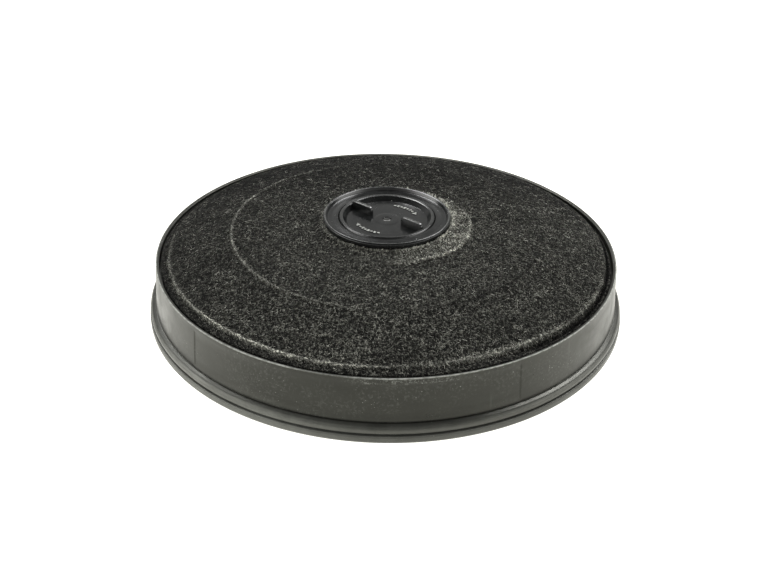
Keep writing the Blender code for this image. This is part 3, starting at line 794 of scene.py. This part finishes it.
def fringe(name, n, seed):
    """Fibres that poke out from under the hub's lip all round, paler on the right."""
    g = np.random.default_rng(seed)
    az = np.radians(g.uniform(0, 360, n))
    w = 0.50 + 0.50 * np.clip(np.cos(az + 0.15), 0, 1)
    r = 31.6 + g.uniform(0, 1, n) * 1.3
    start = np.stack([r * np.cos(az), r * np.sin(az), np.zeros(n)], 1)
    a = az + g.normal(0, 0.9, n) + np.where(g.uniform(0, 1, n) < 0.5, math.pi / 2, 0)
    d = np.stack([np.cos(a), np.sin(a), np.zeros(n)], 1)
    length = g.uniform(0.5, 1.9, n)
    lift = np.stack([g.uniform(-0.1, 0.2, n), g.uniform(0, 0.8, n), g.uniform(-0.1, 1.1, n)], 1)
    tone = 0.05 + 1.0 * w * g.uniform(0, 1, n) ** 2.2
    return strands(name, start, d, length, g.uniform(0.035, 0.075, n), lift, tone, g.normal(0, 0.2, n), seed, 1)


give(fringe("hub_fringe", 3000, 301), fibre_mat, "housing", "felt")


def wisps(name, n, seed, where, az0, az1, spread, strength, size=(0.6, 1.7), width=(0.07, 0.15), rise=0.6,
          along=0.6, inward=0.0):
    """Short bright tufts, in clumps, close to a line round the felt, more so where strength is high."""
    g = np.random.default_rng(seed)
    k = n * 6
    az = np.radians(g.uniform(az0, az1, k))
    line = where(az)
    r = line + g.normal(0, spread, k) - inward * g.uniform(0, 1, k)
    clump = 0.5 + _n4(az * line / 1.5 + 11, r / 2.2) + 0.5 * _n2(az * line / 7.0 + 3, r / 9.0)
    keep = np.nonzero(g.uniform(0, 1, k) < np.clip(clump, 0, 1) ** 1.5 * strength(az))[0][:n]
    az, r, clump = az[keep], r[keep], clump[keep]
    m = len(keep)
    start = np.stack([r * np.cos(az), r * np.sin(az), np.zeros(m)], 1)
    a = az + math.pi / 2 + g.normal(0, along, m)
    d = np.stack([np.cos(a), np.sin(a), np.zeros(m)], 1)
    lift = np.stack([g.uniform(-0.1, 0.1, m), g.uniform(0, 0.5, m), g.uniform(0.0, 1.0, m) ** 2 * rise], 1)
    tone = np.clip((0.10 + 0.80 * g.uniform(0, 1, m) ** 1.3) * (0.4 + 0.6 * strength(az)), 0, 0.9)
    return strands(name, start, d, g.uniform(*size, m), g.uniform(*width, m), lift, tone, g.normal(0, 0.2, m), seed, 1)


tufts = [
    wisps("wisps_fold_left", 1000, 401, lambda a: 108.45 + ridge_shift(a), 196, 274, 0.14,
          lambda a: around(a, [(-168, 0.05), (-152, 0.20), (-142, 0.8), (-132, 1.0), (-116, 1.0), (-102, 0.45), (-88, 0.1), (0, 0.0)]), along=0.4),
    wisps("wisps_fold_right", 800, 402, lambda a: 107.9 + ridge_shift(a), 268, 352, 0.65,
          lambda a: around(a, [(-95, 0.05), (-78, 0.3), (-66, 0.7), (-54, 0.6), (-40, 0.15), (-20, 0.15), (-5, 0.05), (180, 0.0)]), along=1.2,
          width=(0.05, 0.11)),
    wisps("wisps_flap_edge", 800, 403, lambda a: skirt_foot(a) - 0.25, -84, 46, 0.16,
          lambda a: around(a, [(-90, 0.2), (-60, 0.7), (-30, 1.0), (12, 1.0), (30, 0.8), (50, 0.2), (180, 0.0)]), rise=0.35, along=0.4),
    wisps("wisps_flap", 1100, 404, lambda a: skirt_foot(a) - 0.8, -84, 50, 0.1,
          lambda a: around(a, [(-90, 0.2), (-60, 0.55), (-20, 0.8), (35, 0.8), (52, 0.2), (180, 0.0)]), along=1.3, inward=8.6,
          width=(0.05, 0.11)),
    wisps("wisps_collar", 1500, 405, lambda a: 32.5 + 0.0 * a, -180, 180, 0.32,
          lambda a: around(a, [(-170, 0.35), (-135, 0.45), (-100, 0.3), (-75, 0.6), (-55, 1.0), (-15, 0.95), (15, 0.9), (45, 0.9),
                               (75, 0.7), (90, 0.3), (115, 0.5), (140, 0.6)]), rise=1.5, along=0.8),
    wisps("wisps_behind", 900, 407, lambda a: 32.9 + 0.0 * a, 20, 165, 0.30,
          lambda a: around(a, [(0, 0.5), (30, 0.9), (60, 1.0), (80, 0.6), (92, 0.25), (105, 0.5), (120, 0.8), (150, 0.6), (170, 0.1), (-90, 0.0)]),
          rise=3.2, along=0.8, size=(0.9, 2.4)),
    wisps("wisps_ring", 420, 406, lambda a: MID_R + 0.25 * np.sin(5 * a), 120, 262, 0.22,
          lambda a: 0.45 * ring_crest(a), width=(0.05, 0.09), rise=0.3, along=0.35),
]
for ob in tufts:
    give(ob, fibre_mat, "housing", "felt")

# ------------------------------------------------------------------------------------
# casing
# ------------------------------------------------------------------------------------
WALL_T = 1.7


def wall_r(z):
    return 115.0 + (RIM_Z - z) / 21.5 * 1.5


PANEL = (math.radians(222.2), math.radians(300.9))   # a shallow panel of the moulding in front


def panel(r, z, az):
    a = np.mod(az, 2 * math.pi)
    ramp = math.radians(0.22)
    inside = smoothstep(PANEL[0] - ramp, PANEL[0] + ramp, a) * (1 - smoothstep(PANEL[1] - ramp, PANEL[1] + ramp, a))
    inside = inside * smoothstep(10.9, 11.4, z) * (1 - smoothstep(28.1, 28.8, z)) * (r > wall_r(z) - 0.6)
    # the moulding is never quite round
    wave = 0.05 * np.sin(3 * az + 0.7) + 0.03 * np.sin(7 * az)
    on_wall = (r > wall_r(z) - 0.6) & (z > 9.4)
    return r - 0.28 * inside + np.where(on_wall, wave * smoothstep(9.4, 13.0, z), 0.0), z


def support(r):
    knots = [(29, 45.9), (33.4, 45.75), (40.5, 43.9), (MID_R, MID_Z), (RIDGE_R, RIDGE_Z)]
    r = max(r, 42.0)
    return float(np.interp(r, [k[0] for k in knots], [k[1] for k in knots])) - 2.7


profile = fillet([
    (113.35, 30.60, 0.15), (114.55, RIM_Z - 0.03, 0.25), (114.95, RIM_Z - 0.03, 0.22), (115.08, 30.55, 0.22), (115.12, 28.8), (wall_r(28.1), 28.1),
    (wall_r(11.4), 11.4), (wall_r(10.9), 10.9), (116.48, 9.55, 0.12), (116.30, 9.20, 0.08), (117.0, 9.15, 0.4), (118.5, 8.60, 1.6),
    (119.5, 7.2, 1.4), (119.48, 6.1, 0.45), (119.25, 5.35, 0.25), (118.9, 5.1, 0.12), (118.9, SEAM := 4.85, 0.05), (114.8, 4.85), (114.8, 8.5), (113.75, 24.7),
    (107.6, 24.7), (107.6, 28.9, 0.4), (108.9, 29.4, 0.5), (109.7, LEDGE_Z), (113.4, LEDGE_Z)], 5)
profile = densify(profile, True, 4.0)
steps_at = [a + math.radians(d) for a in PANEL for d in (-0.34, -0.22, -0.11, 0.0, 0.11, 0.22, 0.34)]
casing = lathe("side_wall", profile, 288, panel, extra=steps_at)
spider = []
for r in (MID_R, 56.0):
    spider.append(lathe("ring", fillet([(r - 1.0, support(r) - 0.1), (r + 0.9, support(r) - 0.35),
                                        (r + 0.9, support(r) - 2.2), (r - 1.0, support(r) - 2.2)]), 96))
spider.append(lathe("eye", [(31.6, support(30) - 0.1), (31.6, support(30) - 2.5),
                            (28.9, support(30) - 2.5), (28.9, support(30) - 0.1)], 96))
reach = [30.2, 42.0, MID_R, RIDGE_R - 0.6]
rib = [(r, support(r) - 0.25) for r in reach] + [(r, support(r) - 2.4) for r in reversed(reach)]
for k in range(12):
    spider.append(bar("rib", rib, 1.8, 30.0 * (k + 0.5), 0.0))
union(casing, spider)
give(casing, casing_mat, "housing", "casing_plastic", "casing")

# ------------------------------------------------------------------------------------
# base cover
# ------------------------------------------------------------------------------------
LIP_TOP = 4.5
profile = fillet([
    (113.8, 9.0, 0.3), (114.4, 8.2, 0.3), (114.4, LIP_TOP), (118.7, LIP_TOP, 0.2), (119.65, 4.30, 0.35),
    (120.0, 3.4, 0.6), (120.0, 1.5, 0.8), (119.5, 0.6, 0.5), (118.5, 0.0, 0.4), (112.0, 0.0, 0.5), (112.0, 4.4), (112.4, 4.4),
    (112.4, 9.0, 0.2)], 5)
base = lathe("base_cover", densify(profile, True, 4.0), 288)
grid = []
for r in (44.0, 60.0, 76.0, 94.0):
    grid.append(lathe("ring", fillet([(r + 1.0, 3.6, 0.3), (r + 1.0, 1.1, 0.45), (r - 1.0, 1.1, 0.45),
                                      (r - 1.0, 3.6, 0.3)], 3), 144))
grid.append(lathe("socket", fillet([(25.0, 14.0, 0.4), (25.0, 0.6, 0.5), (22.6, 0.6, 0.5), (22.6, 14.0, 0.4)], 3), 144))
for k in range(16):
    grid.append(bar("rib", rectangle(24.0, 112.8, 0.8, 3.9), 2.0, 22.5 * k, 0.4))
union(base, grid)
give(base, base_mat, "housing", "base_plastic", "base_grille")

# ------------------------------------------------------------------------------------
# lower felt, granules
# ------------------------------------------------------------------------------------
def disc_sheet(name, r0, r1, z0, z1, seed):
    steps = 256
    n = lattice_noise(seed)
    az = np.arange(steps) * 2 * math.pi / steps
    radii = np.concatenate([[r0], np.arange(r0 + 1.4, r1 - 1.0, 1.45), [r1]])
    rr, aa = np.meshgrid(radii, az, indexing="ij")
    x, y = rr * np.cos(aa), rr * np.sin(aa)
    inside = np.ones_like(rr)
    inside[0] = inside[-1] = 0.0
    zl = z0 + inside * (0.16 * (n(x / 3.0, y / 3.0) + 0.6 * n(x / 1.4 + 9, y / 1.4)) + 0.08)
    zt = np.full_like(rr, z1)
    rows = np.concatenate([np.stack([x, y, zt], -1), np.stack([x, y, zl], -1)[::-1]])
    k = len(rows)
    i, j = np.meshgrid(np.arange(k), np.arange(steps), indexing="ij")
    i2, j2 = (i + 1) % k, (j + 1) % steps
    f = np.stack([i * steps + j, i2 * steps + j, i2 * steps + j2, i * steps + j2], -1).reshape(-1, 4)
    return finish_mesh(name, rows.reshape(-1, 3) * MM, f, 60)


lower = give(disc_sheet("felt_lining", 25.4, 111.9, 4.75, 6.9, 31), under_felt_mat, "housing", "felt", "base_felt")
nodes["carbon_bed"].data.materials.clear()
nodes["carbon_bed"].data.materials.append(granule_mat)

# ------------------------------------------------------------------------------------
# hub: sleeve, collar, knob, screw, claw
# ------------------------------------------------------------------------------------
sleeve = lathe("bearing_sleeve", fillet([
    (28.5, 42.2, 0.3), (28.5, 40.2, 0.3), (22.2, 38.6, 0.5), (22.2, 8.0, 0.4), (20.2, 8.0, 0.4), (20.2, 39.8, 0.5),
    (9.6, 39.8, 0.3), (9.6, 42.2, 0.3)], 3), 144)
give(sleeve, base_mat, "housing", "base_plastic", "hub_sleeve")

collar = lathe("clamp_ring", densify(fillet([
    (31.1, 49.6, 0.40), (31.9, 48.9, 0.70), (31.7, 46.8, 0.25), (31.0, 46.3), (28.6, 46.3), (28.6, 42.5), (24.3, 42.5),
    (24.3, 48.1, 0.12), (25.3, 48.05, 0.4), (27.4, 47.70, 1.2), (29.6, 47.75, 0.7), (30.25, 49.3, 0.3)], 6), True, 3.0), 256)
give(collar, hub_mat, "housing", "hub_plastic", "hub_collar")

knob = lathe("turning_knob", densify(fillet([
    (22.6, 48.75, 0.30), (23.6, 48.65, 0.40), (23.95, 47.95, 0.3), (23.95, 43.2), (22.4, 43.2), (22.0, 45.15), (9.1, 45.35),
    (9.1, 40.0), (6.4, 40.0), (6.4, 44.7), (1.35, 44.7), (1.35, 45.9), (2.2, 45.9), (2.2, 46.62, 0.08), (5.5, 46.58, 0.4), (6.7, 46.48, 0.4), (13.0, 46.45), (20.1, 46.35, 0.25), (22.0, 48.55, 0.25)], 5), True, 3.0), 192)
FIN_AZ, FIN_OFF = -40.0, 1.4


def arc(cx, cz, r, a0, a1, n):
    return [(cx + r * math.cos(math.radians(a0 + (a1 - a0) * i / n)),
             cz + r * math.sin(math.radians(a0 + (a1 - a0) * i / n))) for i in range(n + 1)]


fin = ([(8.4, 45.6)] + arc(8.4 + 2.2, 50.7 - 2.2, 2.2, 180, 90, 8)
       + arc(21.6 - 2.3, 50.7 - 2.3, 2.3, 90, 0, 8) + [(21.6, 45.6)])
extras = [bar("fin", fin, 1.9, FIN_AZ + 180 * k, 0.42, FIN_OFF) for k in (0, 1)]


def mark(points, width, azimuth, at_r, at_z, height=0.28):
    """A small raised flat shape on the knob's floor: points in mm about its own centre."""
    bm = bmesh.new()
    vs = [bm.verts.new((px * MM, py * MM, 0.0)) for px, py in points]
    bm.faces.new(vs)
    ext = bmesh.ops.extrude_face_region(bm, geom=bm.faces[:])
    bmesh.ops.translate(bm, verts=[v for v in ext["geom"] if isinstance(v, bmesh.types.BMVert)],
                        vec=(0, 0, (height + 0.35) * MM))
    bmesh.ops.recalc_face_normals(bm, faces=bm.faces[:])
    mat = (Matrix.Rotation(math.radians(azimuth), 4, "Z") @ Matrix.Translation((at_r * MM, 0, (at_z - 0.35) * MM)))
    bm.transform(mat)
    me = bpy.data.meshes.new("mark")
    bm.to_mesh(me)
    bm.free()
    ob = bpy.data.objects.new("mark", me)
    scene.collection.objects.link(ob)
    return ob


def arc_arrow(mid_az, span, r, sign):
    """A raised curved arrow: a row of short dashes that follows the rim, then a head."""
    out = []
    count = 7
    for i in range(count):
        a = mid_az + span * ((i + 0.5) / count - 0.5) * sign
        half = r * math.radians(span / count) * 0.33
        w = 0.85 if i % 2 else 0.55
        out.append(mark([(-w, -half), (w, -half), (w, half), (-w, half)], 0, a, r, 46.44))
    a = mid_az + span * 0.58 * sign
    tip = 1.9 * sign
    out.append(mark([(-1.35, -0.4 * sign), (1.35, -0.4 * sign), (0.0, tip)][::(1 if sign > 0 else -1)], 0, a, r, 46.44))
    return out


extras += arc_arrow(54.0, 48.0, 15.4, -1)
extras += arc_arrow(234.0, 48.0, 15.4, -1)
union(knob, extras, 35)
give(knob, hub_mat, "knob", "hub_plastic", "lock_knob")

screw = lathe("pin_screw", fillet([(0.0, 46.50), (0.55, 46.52), (1.45, 46.52, 0.15), (1.9, 46.35, 0.15), (1.9, 46.05), (1.05, 46.05), (1.05, 32.0),
                            (0.0, 31.2)], 3), 48, closed=False)
slotcut = bar("slot", rectangle(-2.3, 2.3, 46.22, 48.2), 0.6, 12, 0.0)
md = screw.modifiers.new("slot", "BOOLEAN")
md.operation, md.solver, md.object = "DIFFERENCE", "EXACT", slotcut
bpy.context.view_layer.update()
screw.data = bpy.data.meshes.new_from_object(screw.evaluated_get(bpy.context.evaluated_depsgraph_get()))
screw.modifiers.clear()
bpy.data.objects.remove(slotcut, do_unlink=True)
screw.data.shade_smooth()
screw.data.set_sharp_from_angle(angle=math.radians(35))
give(screw, screw_mat, "knob", "screw_steel", "knob_screw")

claw = lathe("bayonet_claw", [(0.0, 30.0), (1.4, 30.0), (1.4, 44.4), (6.05, 44.4), (6.05, 9.9), (6.6, 9.25), (13.2, 9.2), (13.5, 8.9),
                      (13.5, 7.1), (13.2, 6.8), (0.0, 6.8)], 96, closed=False)
union(claw, [bar("lug", rectangle(11.0, 18.6, 6.5, 9.6), 12.0, 180.0 * k, 0.5) for k in (0, 1)])
give(claw, base_mat, "knob", "hub_plastic", "lock_claw")

# ------------------------------------------------------------------------------------
# floor and light
# ------------------------------------------------------------------------------------
bpy.ops.mesh.primitive_plane_add(size=6.0, location=(0, 0, -0.0002))
floor = bpy.context.object
floor.name = "floor"
m = Mat("white_sweep")
x, y, z = m.xyz()
# the floor glows as a light source: evenly in front, brighter at the sides and behind, and brighter still close round
# the filter
side = m.ramp(m.math("ABSOLUTE", x), 0.06, 0.16, 0.0, 1.0)
back = m.ramp(y, -0.05, 0.20, 0.0, 1.0)
radius = m.math("SQRT", m.math("ADD", m.math("MULTIPLY", x, x), m.math("MULTIPLY", y, y)))
around_it = m.math("MULTIPLY", m.math("MAXIMUM", side, back), m.ramp(radius, 0.70, 0.45, 0.1, 1.0))
glow = m.math("ADD", 1.04, m.math("MULTIPLY", around_it, 0.66))
glow = m.math("ADD", glow, m.math("MULTIPLY", m.ramp(radius, 0.136, 0.126), 0.40))
m.p.inputs["Emission Color"].default_value = (1.0, 0.992, 0.925, 1)
m.link(glow, m.p.inputs["Emission Strength"])
m.p.inputs["Specular IOR Level"].default_value = 0.1
m.wire(Base_Color=m.mix(m.noise(3.0, 2.0), (0.04, 0.04, 0.04), (0.05, 0.05, 0.05)), Roughness=0.8)
floor.data.materials.append(m.m)

# a dim room over a bright table: dark in front, overhead and at the horizon, lighter behind
world = bpy.data.worlds.new("studio")
scene.world = world
world.use_nodes = True
wt = world.node_tree
wc = wt.nodes.new("ShaderNodeTexCoord")
ws = wt.nodes.new("ShaderNodeSeparateXYZ")
wt.links.new(wc.outputs["Generated"], ws.inputs[0])


def wramp(x, lo, hi, a, b):
    n = wt.nodes.new("ShaderNodeMapRange")
    n.interpolation_type = "SMOOTHSTEP"
    wt.links.new(x, n.inputs[0])
    for i, v in zip((1, 2, 3, 4), (lo, hi, a, b)):
        n.inputs[i].default_value = v
    return n.outputs[0]


wm = wt.nodes.new("ShaderNodeMath")
wm.operation = "MULTIPLY"
wt.links.new(wramp(ws.outputs[2], 0.05, 0.90, 0.75, 0.12), wm.inputs[0])
wt.links.new(wramp(ws.outputs[1], -0.45, 0.55, 0.12, 1.0), wm.inputs[1])
wl = wt.nodes.new("ShaderNodeMath")
wl.operation = "MULTIPLY"
wt.links.new(wm.outputs[0], wl.inputs[0])
wt.links.new(wramp(ws.outputs[2], 0.10, 0.30, 0.05, 1.0), wl.inputs[1])


def wmath(op, a, b):
    n = wt.nodes.new("ShaderNodeMath")
    n.operation = op
    for k, v in enumerate((a, b)):
        if hasattr(v, "is_linked"):
            wt.links.new(v, n.inputs[k])
        else:
            n.inputs[k].default_value = v
    return n.outputs[0]


# low white walls: bright on the left, less on the right, dim in front
band = wmath("MULTIPLY", wramp(ws.outputs[2], 0.04, 0.10, 0.0, 1.0), wramp(ws.outputs[2], 0.30, 0.44, 1.0, 0.0))
ahead = wramp(ws.outputs[1], 0.10, 0.40, 1.0, 0.0)
left = wmath("MULTIPLY", wramp(ws.outputs[0], -0.88, -0.55, 6.0, 0.0), ahead)
right_side = wmath("MULTIPLY", wramp(ws.outputs[0], 0.55, 0.88, 0.0, 4.0), ahead)
front = wramp(ws.outputs[1], -0.85, -0.30, 1.4, 0.0)
low = wmath("MULTIPLY", band, wmath("ADD", wmath("ADD", left, right_side), front))
wt.nodes["Background"].inputs[0].default_value = (1.0, 1.0, 0.97, 1.0)
wt.links.new(wmath("ADD", wl.outputs[0], low), wt.nodes["Background"].inputs[1])


def softbox(name, azimuth, elevation, distance, size, power, color=(1, 1, 1)):
    d = bpy.data.lights.new(name, "AREA")
    d.shape = "RECTANGLE"
    d.size, d.size_y = size
    d.energy = power
    d.color = color
    ob = bpy.data.objects.new(name, d)
    scene.collection.objects.link(ob)
    a, e = math.radians(azimuth), math.radians(elevation)
    where = Vector((math.cos(a) * math.cos(e), math.sin(a) * math.cos(e), math.sin(e))) * distance
    ob.location = where + Vector((0, 0, 0.04))
    ob.rotation_euler = (-where).to_track_quat("-Z", "Y").to_euler()
    return ob


softbox("right_softbox", 42.0, 50.0, 1.4, (0.75, 0.55), 21.0)
softbox("left_softbox", 128.0, 52.0, 1.4, (0.62, 0.50), 17.0)

scene.view_settings.view_transform = "Standard"
scene.view_settings.look = "None"
